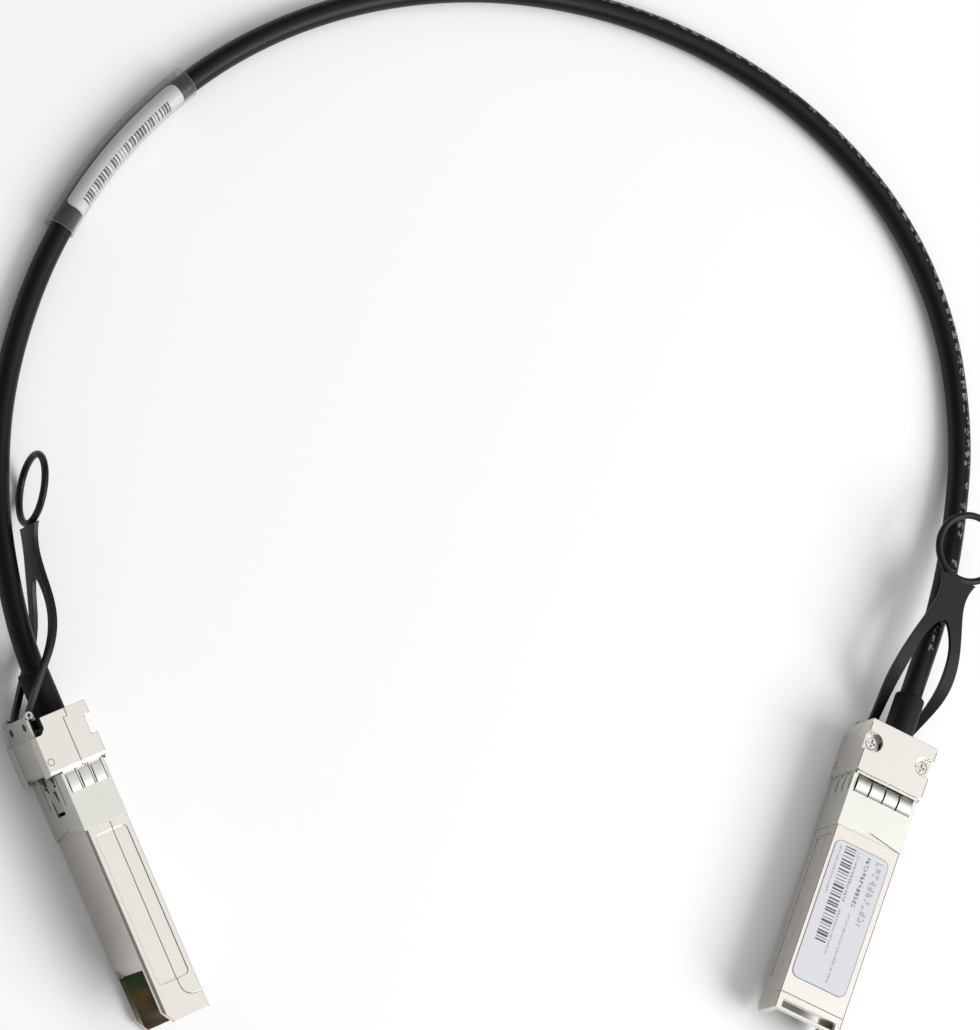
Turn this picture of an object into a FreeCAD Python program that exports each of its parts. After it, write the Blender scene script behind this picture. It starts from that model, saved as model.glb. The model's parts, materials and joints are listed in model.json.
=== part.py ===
import FreeCAD
import Part
import math
import os

# Direct attach copper cable: two pluggable cage modules joined by a twinax cable.
# Each plug is modelled in its own frame: x across, y away from the nose, z from the latch
# face (0) to the label face. The shoulder, where the rear housing meets the body, is y = 0.
# All lengths are in millimetres.

V = FreeCAD.Vector

# ---- body ----
body_width = 13.5
body_height = 8.5
nose_length = 47.5
body_split = 5.0
side_wall = 1.15
floor_wall = 1.0
roof_wall = 1.2
cover_setback = 3.3
cover_corner = 2.2
parting_gap = 0.08
edge_chamfer = 0.45
socket_length = 10.4
socket_bevel = 1.6
nose_cut_length = 2.3
nose_cut_height = 1.5
nose_bar = 0.5
nose_window = 1.5
side_recess_depth = 0.2
side_recess_length = 28.3
side_recess_start = 12.4
side_recess_margin = 0.9
side_recess_height = 6.3

# ---- rear housing ----
housing_width = 14.0
housing_length = 10.3
housing_above = 0.9
housing_below = 1.9
housing_wall = 1.5
housing_split = 4.5
housing_corner = 0.7
cavity_half_width = 3.8
rear_step_length = 2.9
rear_step_height = 2.2
rear_step_chamfer = 0.9
split_jog_length = 1.5
split_jog_height = 0.8
lip_length = 0.5
lip_drop = 0.35

# ---- screws ----
screw_inset = 1.6
screw_from_rear = 4.3
screw_head_radius = 1.2
screw_head_height = 0.7
screw_shank_radius = 0.8
screw_length = 5.6
screw_pocket_radius = 1.75
screw_pocket_depth = 1.2
screw_clearance = 0.02
cross_width = 0.34
cross_length = 1.5
cross_depth = 0.35

# ---- spring collar ----
collar_length = 10.9
collar_sheet = 0.2
collar_gap = 0.03
collar_proud = 0.08
collar_chevron = 1.1
finger_length = 3.3
finger_bulge = 0.55
side_finger_bulge = 0.12
finger_pitch = 3.0
finger_slit = 0.35
side_finger_pitch = 2.55
side_finger_width = 1.95
finger_gap = 0.6
finger_drop = 0.02

# ---- circuit board ----
board_thickness = 1.0
board_below_label = 2.25
board_nose_width = 9.2
board_side_gap = 0.2
board_setback = 3.2
board_rear = 2.0
board_neck_length = 9.3
board_neck_slope = 0.8
board_tip_chamfer = 0.4
rest_size = 1.0
rest_length = 3.0
rest_places = (0.3, 0.75)
pad_count = 10
pad_pitch = 0.8
pad_width = 0.5
pad_length = 3.4
pad_thickness = 0.05
pad_setback = 0.45
chip_size = 3.0
chip_thickness = 1.1
chip_from_shoulder = 20.0

# ---- cable and its fittings ----
cable_radius = 2.1
cable_below_label = 3.0
cable_past_ferrule = 0.3
boot_radius = 2.8
boot_length = 8.2
boot_flange_radius = 3.1
boot_flange_length = 1.2
boot_rim = 0.5
fit_gap = 0.02
ferrule_wall = 0.5
ferrule_length = 2.6
ferrule_gap = 0.7
lead_radius = 0.5
lead_spacing = 1.5
lead_overlap = 2.5

# ---- latch ----
travel = 2.2
slider_thickness = 0.5
slider_width = 10.0
slider_pad_width = 8.0
slider_pad_drop = 0.4
slider_overhang = 1.1
slider_front = 0.5
guide_depth = 1.05
guide_height = 0.65
guide_clearance = 0.1
lug_width = 1.8
lug_thickness = 0.6
lug_from_shoulder = 2.8
lug_height = 1.9
curl_radius = 0.7
curl_wall = 0.35
curl_width = 1.1
curl_from_middle = 4.6
rocker_width = 3.0
rocker_thickness = 0.5
rocker_pivot = 5.9
rocker_pivot_height = 0.45
rocker_front = 0.5
rocker_rear = 1.6
rocker_lug = 0.9
rocker_lug_length = 0.6
rocker_gap = 0.3
boss_width = 2.6
boss_start = 2.5
boss_length = 2.6
boss_height = 0.5
pin_radius = 0.3
pin_length = 5.4
barrel_radius = 0.42
ramp_gap = 0.28
ramp_crest = 0.4
rocker_swing = 9.5
spring_sheet = 0.15
spring_width = 1.6
spring_folds = 5
spring_height = 0.8

# ---- pull tab ----
tab_thickness = 0.9
tab_overlap = 1.7
tab_foot_height = -0.42
arm_width = 2.2
arm_offset = 2.0
ring_from_start = 33.0
ring_radius = 6.2
ring_strand = 0.65
peg_radius = 0.7
peg_height = 0.5
# The tab's edges as (from the middle, from the tab's start), and its rise as (from the start, height).
tab_outer = [(4.2, 0.0), (4.35, 3.7), (6.0, 11.4), (5.6, 17.9), (3.75, 24.9), (2.75, 29.4), (3.65, 33.6)]
tab_inner = [(2.0, 0.0), (2.8, 3.9), (3.8, 11.4), (3.45, 17.4), (1.9, 22.9), (0.0, 25.0)]
tab_rise_flat = [(0.0, -0.42), (2.0, -0.3), (5.1, 1.7), (8.9, 4.6), (13.4, 7.3), (18.4, 8.7), (23.4, 9.0),
                 (29.4, 9.0), (35.4, 9.1)]
tab_rise_bent = [(0.0, -0.42), (2.0, -0.3), (5.1, 1.8), (8.9, 5.1), (13.4, 9.0), (18.4, 11.6), (23.4, 12.9),
                 (29.4, 14.4), (35.4, 16.9)]

# ---- label, identification sleeve and its tag ----
label_length = 27.5
label_width = 11.5
label_start = 13.3
label_shift = -0.2
label_corner = 1.5
label_thickness = 0.1
sleeve_wall = 0.25
sleeve_gap = 0.17
sleeve_spread = 0.8
tag_thickness = 0.1
tag_start_margin = 4.2
tag_end_margin = 3.0
tag_outer_angle = 62.0
tag_inner_angle = -115.0
tag_corner = 1.0

# ---- where the plugs lie ----
# The left plug stands on its narrow side, the right one lies on its latch side.
left_plug_x = -90.4
left_plug_y = -9.4
left_plug_turn = 25.3
right_plug_x = 72.45
right_plug_y = -0.45
right_plug_turn = -21.0

# ---- the cable's route between the plugs, in the part's frame ----
# Straight out of each boot, then down to the surface and round in one open loop.
straight_out = 20.0
route_middle = [(-97.4, 24.3, 6.1), (-99.2, 40.4, 4.0), (-97.8, 60.7, 2.6), (-91.5, 81.9, 2.52),
                (-82.1, 99.0, 2.52), (-70.4, 113.2, 2.52), (-55.1, 126.1, 2.52), (-36.2, 136.2, 2.2),
                (-15.6, 142.3, 2.12), (5.8, 144.2, 2.12), (27.2, 141.8, 2.12), (47.7, 135.1, 2.12),
                (66.3, 124.0, 2.12), (81.3, 108.7, 2.12), (90.6, 89.7, 2.12), (93.4, 68.7, 2.3),
                (90.9, 51.0, 3.8), (86.2, 34.4, 6.2)]
runs_before_sleeve_count = 5

half_body = body_width / 2
half_housing = housing_width / 2
inner_half = half_body - side_wall
cover_length = nose_length - cover_setback
socket_start = nose_length - socket_length
board_width = 2 * (inner_half - board_side_gap)
board_tip = nose_length - board_setback
board_neck = board_tip - board_neck_length
cable_axis_height = body_height - cable_below_label
boot_start = housing_length - housing_wall - boot_flange_length
ferrule_start = boot_start - ferrule_gap - ferrule_length
cable_inside = ferrule_start - cable_past_ferrule
slider_length = housing_length + slider_overhang - slider_front
tab_start = housing_length - tab_overlap
ring_start = tab_start + ring_from_start
peg_x = arm_offset + arm_width / 2
peg_y = tab_start + arm_width / 2
housing_top = body_height + housing_above
housing_bottom = -housing_below
rear_bottom = housing_bottom + rear_step_height
guide_roof = housing_bottom + guide_depth
guide_floor = guide_roof - guide_height
slider_top = guide_roof - guide_clearance
slider_bottom = slider_top - slider_thickness
board_top = body_height - board_below_label
board_bottom = board_top - board_thickness
cavity_floor = 0.9
cavity_top = housing_top - 0.7
screw_x = half_housing - screw_inset
screw_y = housing_length - screw_from_rear
screw_seat = housing_top - screw_pocket_depth - screw_head_height
boot_end = housing_length + boot_length
collar_recess = collar_sheet + collar_gap - collar_proud
lug_front = rocker_rear - rocker_lug_length
ramp_rise = math.tan(math.radians(rocker_swing)) * (rocker_pivot + lug_front)
ramp_front = lug_front - travel - ramp_crest


def block(x0, x1, y0, y1, z0, z1):
    return Part.makeBox(x1 - x0, y1 - y0, z1 - z0, V(x0, y0, z0))


def centred_block(width, y0, y1, z0, z1):
    return block(-width / 2, width / 2, y0, y1, z0, z1)


def side_prism(outline, x0, x1):
    """Extrude an outline of (y, z) points across the width, from x0 to x1."""
    points = [V(x0, y, z) for y, z in outline]
    face = Part.Face(Part.makePolygon(points + points[:1]))
    return face.extrude(V(x1 - x0, 0, 0))


def plan_prism(outline, z0, z1):
    """Extrude an outline of (x, y) points upwards, from z0 to z1."""
    points = [V(x, y, z0) for x, y in outline]
    face = Part.Face(Part.makePolygon(points + points[:1]))
    return face.extrude(V(0, 0, z1 - z0))


def rod_y(radius, x, z, y0, y1):
    return Part.makeCylinder(radius, y1 - y0, V(x, y0, z), V(0, 1, 0))


def rod_x(radius, y, z, x0, x1):
    return Part.makeCylinder(radius, x1 - x0, V(x0, y, z), V(1, 0, 0))


def rod_z(radius, x, y, z0, z1):
    return Part.makeCylinder(radius, z1 - z0, V(x, y, z0), V(0, 0, 1))


def cover_region(gap):
    """Everything on the label side of the parting line, which turns up round the cover's end."""
    far = housing_length + 1
    top = housing_top + 1
    radius = cover_corner + gap
    end = -cover_length - gap
    low = body_split - gap
    bend = math.sqrt(0.5) * radius
    centre = V(0, end + radius, low + radius)
    corner = Part.Arc(V(0, centre.y, low), centre + V(0, -bend, -bend), V(0, end, centre.z)).toShape()
    jog_y = housing_length - split_jog_length
    path = [V(0, end, centre.z), V(0, end, top), V(0, far, top),
            V(0, far, housing_split + split_jog_height - gap),
            V(0, jog_y + gap, housing_split + split_jog_height - gap),
            V(0, jog_y + gap, housing_split - gap), V(0, -gap, housing_split - gap), V(0, -gap, low),
            V(0, centre.y, low)]
    wire = Part.Wire([corner] + Part.makePolygon(path).Edges)
    face = Part.Face(wire)
    face.translate(V(-half_housing - 1, 0, 0))
    return face.extrude(V(housing_width + 2, 0, 0))


def body_block():
    """The slim part that enters the cage, before it is split into two shells."""
    body = centred_block(body_width, -nose_length, 0.2, 0, body_height)
    long_edges = [edge for edge in body.Edges
                  if abs(edge.CenterOfMass.z) < 0.01 and abs(edge.CenterOfMass.x) > half_body - 0.01]
    body = body.makeChamfer(edge_chamfer, long_edges)
    tip = -nose_length
    for side in (-1, 1):
        inner = side * inner_half
        outer = side * (half_body + 1)
        lead_in = [(tip - 1, -1), (tip + nose_cut_length, -1), (tip + nose_cut_length, 0), (tip, nose_cut_height),
                   (tip - 1, nose_cut_height)]
        body = body.cut(side_prism(lead_in, min(inner, outer), max(inner, outer)))
    recess_high = body_height - side_recess_margin
    recess = centred_block(body_width + 2, -side_recess_start - side_recess_length, -side_recess_start,
                           recess_high - side_recess_height, recess_high)
    recess = recess.makeFillet(0.9, [e for e in recess.Edges if abs(e.Vertexes[0].X - e.Vertexes[1].X) > 1])
    keep = centred_block(body_width - 2 * side_recess_depth, -nose_length, 0, -1, body_height + 1)
    body = body.cut(recess.cut(keep))
    seat = centred_block(body_width + 2, -collar_length, 0, -1, body_height + 1)
    core = centred_block(body_width - 2 * collar_recess, -nose_length, 1, collar_recess,
                         body_height - collar_recess)
    return body.cut(seat.cut(core))


def housing_block():
    """The rear housing with its lip over the collar, its stepped rear and its screw pockets."""
    housing = centred_block(housing_width, 0, housing_length, housing_bottom, housing_top)
    upright = [edge for edge in housing.Edges
               if edge.CenterOfMass.y < 0.01 and abs(edge.Vertexes[0].Z - edge.Vertexes[1].Z) > 1]
    housing = housing.makeFillet(housing_corner, upright)
    lip_low = body_height + collar_proud + collar_gap
    lip = centred_block(body_width + collar_proud, -lip_length, 0.5, lip_low, housing_top - lip_drop)
    housing = housing.fuse(lip)
    step = housing_length - rear_step_length
    rear_cut = [(step, housing_bottom - 1), (step, rear_bottom - rear_step_chamfer),
                (step + rear_step_chamfer, rear_bottom), (housing_length + 1, rear_bottom),
                (housing_length + 1, housing_bottom - 1)]
    housing = housing.cut(side_prism(rear_cut, -half_housing - 1, half_housing + 1))
    for side in (-1, 1):
        x = side * screw_x
        seat = housing_top - screw_pocket_depth
        pocket = rod_z(screw_pocket_radius, x, screw_y, seat, housing_top + 1)
        open_side = block(min(x, side * 9), max(x, side * 9), screw_y - screw_pocket_radius,
                          screw_y + screw_pocket_radius, seat, housing_top + 1)
        housing = housing.cut(pocket.fuse(open_side))
    return housing


def shell_space():
    """The hollow that both shells share: board bay, open nose, wiring chamber and cable exit."""
    bay = centred_block(2 * inner_half, -cover_length + 1.0, -1.2, floor_wall, body_height - roof_wall)
    nose = centred_block(2 * inner_half, -nose_length - 1, -cover_length + 0.5, floor_wall,
                         body_height - roof_wall)
    socket = centred_block(2 * inner_half, -nose_length - 1, -socket_start, -1, body_height - roof_wall)
    window_end = -nose_length + nose_bar + nose_window
    window = centred_block(2 * inner_half, -nose_length + nose_bar, window_end, body_height - roof_wall - 1,
                           body_height + 1)
    bevel = side_prism([(-socket_start - 1, -1), (-socket_start + socket_bevel, -1),
                        (-socket_start + socket_bevel, 0), (-socket_start, 0.6), (-socket_start - 1, 0.6)],
                       -inner_half, inner_half)
    chamber_end = housing_length - housing_wall
    chamber = centred_block(2 * cavity_half_width, -1.3, chamber_end, cavity_floor, cavity_top)
    neck_relief = centred_block(2 * cavity_half_width, -1.3, 1.0, cavity_floor, body_height - roof_wall)
    exit_hole = rod_y(boot_radius + fit_gap, 0, cable_axis_height, chamber_end - 0.5, housing_length + 1)
    space = bay
    for piece in (nose, socket, window, bevel, chamber, neck_relief, exit_hole):
        space = space.fuse(piece)
    for side in (-1, 1):
        shank = rod_z(screw_shank_radius + screw_clearance, side * screw_x, screw_y,
                      screw_seat - screw_length - 0.2, housing_top)
        head = rod_z(screw_head_radius + screw_clearance, side * screw_x, screw_y, screw_seat, housing_top)
        space = space.fuse(shank).fuse(head)
    return space


def latch_space():
    """Slider guide, slot for the rocker and its ramps, and the slot for the spring lug."""
    guide = centred_block(slider_width + 2 * guide_clearance, -1, housing_length + 1, guide_floor, guide_roof)
    mouth = centred_block(slider_pad_width + 2 * guide_clearance, -1, housing_length + 1, housing_bottom - 1,
                          guide_roof)
    slot_half = rocker_width / 2 + rocker_gap
    slot = block(-slot_half, slot_half, -rocker_pivot - rocker_front - 0.6, 0.3, -1, floor_wall + 2)
    lug_half = rocker_width / 2 + rocker_lug + rocker_gap
    ramp_room = block(-lug_half, lug_half, ramp_front - rocker_gap, rocker_rear + travel + 1.0,
                      guide_roof - 0.1, 2.4)
    spring_slot = centred_block(lug_width + 0.4, lug_from_shoulder - 0.2,
                                lug_from_shoulder + lug_thickness + travel + 0.4, guide_roof - 0.1,
                                cavity_floor + 0.1)
    pin_hole = rod_x(pin_radius + fit_gap, -rocker_pivot, rocker_pivot_height, -pin_length / 2, pin_length / 2)
    space = guide
    for piece in (mouth, slot, ramp_room, spring_slot, pin_hole):
        space = space.fuse(piece)
    return space


def board_rests():
    """Four small rests under the board, standing on the body's floor."""
    rests = []
    for side in (-1, 1):
        for place in rest_places:
            x = side * (board_width - rest_size) / 2
            y = -place * board_neck
            rests.append(block(x - rest_size / 2, x + rest_size / 2, y - rest_length / 2, y + rest_length / 2,
                               floor_wall - 0.2, board_bottom))
    return rests


def shells():
    whole = body_block().fuse(housing_block()).cut(shell_space())
    base = whole.cut(cover_region(parting_gap)).cut(latch_space())
    for rest in board_rests():
        base = base.fuse(rest)
    cover = whole.common(cover_region(0))
    return base.removeSplitter(), cover.removeSplitter()


def finger(width, x, bulge, turn):
    """One contact finger, bulging from the collar's flat sheet; turn is about the plug's axis."""
    front = -finger_length - finger_gap
    rear = -finger_gap
    mid = (front + rear) / 2 + 0.2
    outer = collar_proud
    inner = collar_proud - collar_sheet
    top_arc = Part.Arc(V(0, front, outer), V(0, mid, outer + bulge), V(0, rear, outer - finger_drop)).toShape()
    low_arc = Part.Arc(V(0, rear + 0.06, inner - finger_drop), V(0, mid, inner + bulge),
                       V(0, front, inner)).toShape()
    ends = [Part.makeLine(V(0, rear, outer - finger_drop), V(0, rear + 0.06, inner - finger_drop)),
            Part.makeLine(V(0, front, inner), V(0, front, outer))]
    face = Part.Face(Part.Wire([top_arc, ends[0], low_arc, ends[1]]))
    strip = face.extrude(V(width, 0, 0))
    strip.translate(V(x - width / 2, 0, 0))
    if turn == 0:
        strip.translate(V(0, 0, body_height))
        return strip
    strip.rotate(V(0, 0, 0), V(0, 1, 0), turn)
    strip.translate(V(half_body if turn == 90 else -half_body, 0, body_height / 2))
    return strip


def emi_collar():
    front = -collar_length
    rear = -0.15
    proud = collar_proud
    half = half_body + proud
    sheet = block(-half, half, front, rear, -proud, body_height + proud)
    hole = block(-half + collar_sheet, half - collar_sheet, front - 1, 1, -proud + collar_sheet,
                 body_height + proud - collar_sheet)
    sheet = sheet.cut(hole)
    chevron = [(-half + 0.05, front - 1), (-half + 0.05, front), (0, front + collar_chevron),
               (half - 0.05, front), (half - 0.05, front - 1)]
    sheet = sheet.cut(plan_prism(chevron, -1, body_height + 1))
    finger_front = -finger_length - finger_gap
    for step in (-1.5, -0.5, 0.5, 1.5):
        x = step * finger_pitch
        half_gap = finger_pitch / 2 - 0.03 if abs(step) < 1 else finger_pitch / 2
        sheet = sheet.cut(block(x - half_gap, x + half_gap, finger_front, 1, body_height - 1, body_height + 1))
    for step in (-1, 0, 1):
        z = body_height / 2 + step * side_finger_pitch
        room = side_finger_width / 2 + finger_slit / 2
        sheet = sheet.cut(block(-half - 1, half + 1, finger_front, -finger_gap + 0.5, z - room, z + room))
    window = rocker_width / 2 + rocker_gap
    sheet = sheet.cut(block(-window, window, -rocker_pivot - rocker_front - 0.7, 1, -1, 1))
    ramp_window = window + rocker_lug
    sheet = sheet.cut(block(-ramp_window, ramp_window, ramp_front - rocker_gap, 1, -1, 1))
    for side in (-1, 1):
        x = side * (window + 1.8)
        sheet = sheet.cut(block(x - finger_slit / 2, x + finger_slit / 2, finger_front - 1.5, 1, -1, 1))
    for step in (-1.5, -0.5, 0.5, 1.5):
        sheet = sheet.fuse(finger(finger_pitch - finger_slit, step * finger_pitch, finger_bulge, 0))
    for step in (-1, 0, 1):
        sheet = sheet.fuse(finger(side_finger_width, step * side_finger_pitch, side_finger_bulge, 90))
        sheet = sheet.fuse(finger(side_finger_width, step * side_finger_pitch, side_finger_bulge, -90))
    return sheet.removeSplitter()


def cover_screws():
    screws = []
    for side in (-1, 1):
        x = side * screw_x
        shank = rod_z(screw_shank_radius, x, screw_y, screw_seat - screw_length, screw_seat)
        head = rod_z(screw_head_radius, x, screw_y, screw_seat, screw_seat + screw_head_height)
        head = head.makeChamfer(0.12, [head.Edges[0]])
        top = screw_seat + screw_head_height
        cross = block(x - cross_length / 2, x + cross_length / 2, screw_y - cross_width / 2,
                      screw_y + cross_width / 2, top - cross_depth, top + 1)
        cross = cross.fuse(block(x - cross_width / 2, x + cross_width / 2, screw_y - cross_length / 2,
                                 screw_y + cross_length / 2, top - cross_depth, top + 1))
        screws.append(head.fuse(shank).cut(cross).removeSplitter())
    return Part.makeCompound(screws)


def circuit_board():
    wide = board_width / 2
    slim = board_nose_width / 2
    neck = -board_neck - board_neck_slope
    tip = -board_tip
    corner = board_tip_chamfer
    outline = [(-wide, -board_rear), (wide, -board_rear), (wide, -board_neck), (slim, neck),
               (slim, tip + corner), (slim - corner, tip), (-slim + corner, tip), (-slim, tip + corner),
               (-slim, neck), (-wide, -board_neck)]
    return plan_prism(outline, board_bottom, board_top)


def contact_pads():
    pads = []
    tip = -board_tip + pad_setback
    for index in range(pad_count):
        x = (index - (pad_count - 1) / 2) * pad_pitch
        for z in (board_top, board_bottom - pad_thickness):
            pads.append(block(x - pad_width / 2, x + pad_width / 2, tip, tip + pad_length, z, z + pad_thickness))
    return Part.makeCompound(pads)


def memory_chip():
    y = -chip_from_shoulder
    chip = centred_block(chip_size, y - chip_size / 2, y + chip_size / 2, board_bottom - chip_thickness,
                         board_bottom)
    return chip


def cable_boot():
    z = cable_axis_height
    start = boot_start
    sleeve = rod_y(boot_radius, 0, z, start, boot_end)
    rear_rim = [edge for edge in sleeve.Edges if abs(edge.CenterOfMass.y - boot_end) < 0.01]
    sleeve = sleeve.makeFillet(boot_rim, rear_rim)
    flange = rod_y(boot_flange_radius, 0, z, start, start + boot_flange_length - fit_gap)
    bore = rod_y(cable_radius + fit_gap, 0, z, start - 1, boot_end + 1)
    return sleeve.fuse(flange).cut(bore).removeSplitter()


def crimp_ferrule():
    z = cable_axis_height
    start = ferrule_start
    outer = rod_y(cable_radius + ferrule_wall, 0, z, start, start + ferrule_length)
    return outer.cut(rod_y(cable_radius + fit_gap, 0, z, start - 1, start + ferrule_length + 1))


def signal_leads():
    leads = []
    for side in (-1, 1):
        for z in (board_top + lead_radius, board_bottom - lead_radius):
            leads.append(rod_y(lead_radius, side * lead_spacing / 2, z, -board_rear - lead_overlap, cable_inside))
    return Part.makeCompound(leads)


def latch_slider():
    """Flat slider with a raised pad, ramps for the rocker, a spring lug and two curled ears."""
    half = slider_width / 2
    end = slider_front + slider_length
    plate = block(-half, half, slider_front, end, slider_bottom, slider_top)
    corners = [edge for edge in plate.Edges if abs(edge.Vertexes[0].Z - edge.Vertexes[1].Z) > 0.1]
    plate = plate.makeFillet(0.6, corners)
    pad_end = housing_length - rear_step_length
    pad = centred_block(slider_pad_width, slider_front + 0.4, pad_end, slider_bottom - slider_pad_drop,
                        slider_bottom + 0.1)
    lug = centred_block(lug_width, lug_from_shoulder, lug_from_shoulder + lug_thickness, slider_top - 0.2,
                        lug_height)
    slider = plate.fuse(pad).fuse(lug)
    low = -ramp_gap
    outline = [(lug_front + 1.2, slider_top - 0.1), (lug_front, low), (lug_front - travel, low + ramp_rise),
               (ramp_front, low + ramp_rise), (ramp_front, low + ramp_rise - 0.7),
               (lug_front - 1.0, slider_top - 0.1)]
    for side in (-1, 1):
        near = rocker_width / 2 + rocker_gap
        far = rocker_width / 2 + rocker_lug
        ramp = side_prism(outline, min(side * near, side * far), max(side * near, side * far))
        slider = slider.fuse(ramp)
        x = side * (curl_from_middle + curl_width / 2)
        curl = rod_x(curl_radius, end, slider_bottom + curl_radius, x - curl_width / 2, x + curl_width / 2)
        bore = rod_x(curl_radius - curl_wall, end, slider_bottom + curl_radius, x - 1, x + 1)
        mouth = block(x - 1, x + 1, end - curl_radius - 0.1, end, slider_top, slider_bottom + curl_radius)
        slider = slider.fuse(curl).cut(bore).cut(mouth)
        peg_hole = rod_z(peg_radius + fit_gap, side * peg_x, peg_y, slider_bottom - 1, slider_top + 1)
        slider = slider.cut(peg_hole)
    return slider.removeSplitter()


def smooth_edge(points):
    curve = Part.BSplineCurve()
    curve.interpolate(points)
    return curve.toShape()


def rise_band(rise):
    """Side view of the tab: a band of even thickness along the rise, extruded across the width."""
    middle = [V(0, tab_start + y, z) for y, z in rise]
    curve = Part.BSplineCurve()
    curve.interpolate(middle)
    first = curve.FirstParameter
    last = curve.LastParameter
    upper = []
    lower = []
    steps = 14
    for index in range(steps + 1):
        at = first + (last - first) * index / steps
        point = curve.value(at)
        along = curve.tangent(at)[0]
        normal = V(0, -along.z, along.y)
        upper.append(point + normal * (tab_thickness / 2))
        lower.append(point - normal * (tab_thickness / 2))
    edges = [smooth_edge(upper), Part.makeLine(upper[-1], lower[-1]), smooth_edge(lower[::-1]),
             Part.makeLine(lower[0], upper[0])]
    face = Part.Face(Part.Wire(edges))
    face.translate(V(-12, 0, 0))
    return face.extrude(V(24, 0, 0)), curve


def tab_plan():
    """Plan view of the tab: two arms round an eye, meeting in a neck."""
    right = [V(x, tab_start + y, 0) for x, y in tab_outer]
    left = [V(-x, tab_start + y, 0) for x, y in tab_outer]
    eye = [V(x, tab_start + y, 0) for x, y in tab_inner]
    eye += [V(-x, tab_start + y, 0) for x, y in tab_inner[-2::-1]]
    edges = [smooth_edge(right), Part.makeLine(right[-1], left[-1]), smooth_edge(left[::-1]),
             Part.makeLine(left[0], eye[-1]), smooth_edge(eye[::-1]), Part.makeLine(eye[0], right[0])]
    face = Part.Face(Part.Wire(edges))
    face.translate(V(0, 0, -5))
    return face.extrude(V(0, 0, 30))


def pull_tab(rise):
    band, curve = rise_band(rise)
    tab = band.common(tab_plan())
    at = curve.LastParameter
    tip = curve.value(at)
    along = curve.tangent(at)[0]
    start = tip + along * (ring_start - tip.y)
    centre = start + along * (ring_radius + ring_strand)
    normal = V(0, -along.z, along.y)
    ring = Part.makeTorus(ring_radius, ring_strand, centre, normal)
    tab = tab.fuse(ring)
    for side in (-1, 1):
        tab = tab.fuse(rod_z(peg_radius, side * peg_x, peg_y, slider_bottom, tab_foot_height))
    return tab.removeSplitter()


def latch_rocker():
    half = rocker_width / 2
    front = -rocker_pivot - rocker_front
    plate = block(-half, half, front, rocker_rear, 0.02, 0.02 + rocker_thickness)
    lugs = block(-half - rocker_lug, half + rocker_lug, lug_front, rocker_rear, 0.02,
                 0.02 + rocker_thickness)
    barrel = rod_x(barrel_radius, -rocker_pivot, rocker_pivot_height, -half, half)
    boss_end = -boss_start - boss_length
    boss = side_prism([(boss_end, 0.1), (boss_end, 0.02), (-boss_start, -boss_height), (-boss_start, 0.1)],
                      -boss_width / 2, boss_width / 2)
    bore = rod_x(pin_radius + fit_gap, -rocker_pivot, rocker_pivot_height, -half - 1, half + 1)
    return plate.fuse(lugs).fuse(barrel).fuse(boss).cut(bore).removeSplitter()


def latch_pin():
    return rod_x(pin_radius, -rocker_pivot, rocker_pivot_height, -pin_length / 2 + fit_gap,
                 pin_length / 2 - fit_gap)


def return_spring():
    """Folded leaf between the slider's lug and the boot's flange."""
    start = lug_from_shoulder + lug_thickness
    end = boot_start
    pitch = (end - start) / spring_folds
    low = cavity_floor + 0.1
    heights = [low + spring_height if index % 2 else low for index in range(spring_folds + 1)]
    lower = [V(-spring_width / 2, start + pitch * index, z) for index, z in enumerate(heights)]
    upper = [point + V(0, 0, spring_sheet) for point in lower]
    points = lower + upper[::-1]
    face = Part.Face(Part.makePolygon(points + points[:1]))
    return face.extrude(V(spring_width, 0, 0))


def plug_label():
    half = label_width / 2
    label = block(label_shift - half, label_shift + half, -label_start - label_length, -label_start, body_height,
                  body_height + label_thickness)
    upright = [edge for edge in label.Edges if abs(edge.Vertexes[0].Z - edge.Vertexes[1].Z) > label_thickness / 2]
    return label.makeFillet(label_corner, upright)


def plug_pieces(rise):
    base, cover = shells()
    return {"base_shell": base, "cover_shell": cover, "emi_collar": emi_collar(), "cover_screws": cover_screws(),
            "circuit_board": circuit_board(), "contact_pads": contact_pads(), "memory_chip": memory_chip(),
            "cable_boot": cable_boot(), "crimp_ferrule": crimp_ferrule(), "signal_leads": signal_leads(),
            "latch_slider": latch_slider(), "pull_tab": pull_tab(rise), "latch_rocker": latch_rocker(),
            "latch_pin": latch_pin(), "return_spring": return_spring(), "plug_label": plug_label()}


def lying_placement(x, y, turn):
    """Plug on its latch side, label up."""
    return FreeCAD.Placement(V(x, y, housing_below), FreeCAD.Rotation(V(0, 0, 1), turn))


def standing_placement(x, y, turn):
    """Plug rolled a quarter turn on to its narrow side."""
    roll = FreeCAD.Rotation(V(0, 1, 0), 90)
    return FreeCAD.Placement(V(x, y, half_housing), FreeCAD.Rotation(V(0, 0, 1), turn).multiply(roll))


def cable_route(left, right):
    """All corner points of the route, from inside one plug to inside the other."""
    def on_axis(placement, y):
        return placement.multVec(V(0, y, cable_axis_height))
    points = [on_axis(left, cable_inside), on_axis(left, straight_out)]
    points += [V(*point) for point in route_middle]
    points += [on_axis(right, straight_out), on_axis(right, cable_inside)]
    return points


def bend_radius(points, index):
    before = points[index] - points[index - 1]
    after = points[index + 1] - points[index]
    half_turn = before.getAngle(after) / 2
    return 0.45 * min(before.Length, after.Length) / math.tan(half_turn)


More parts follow.
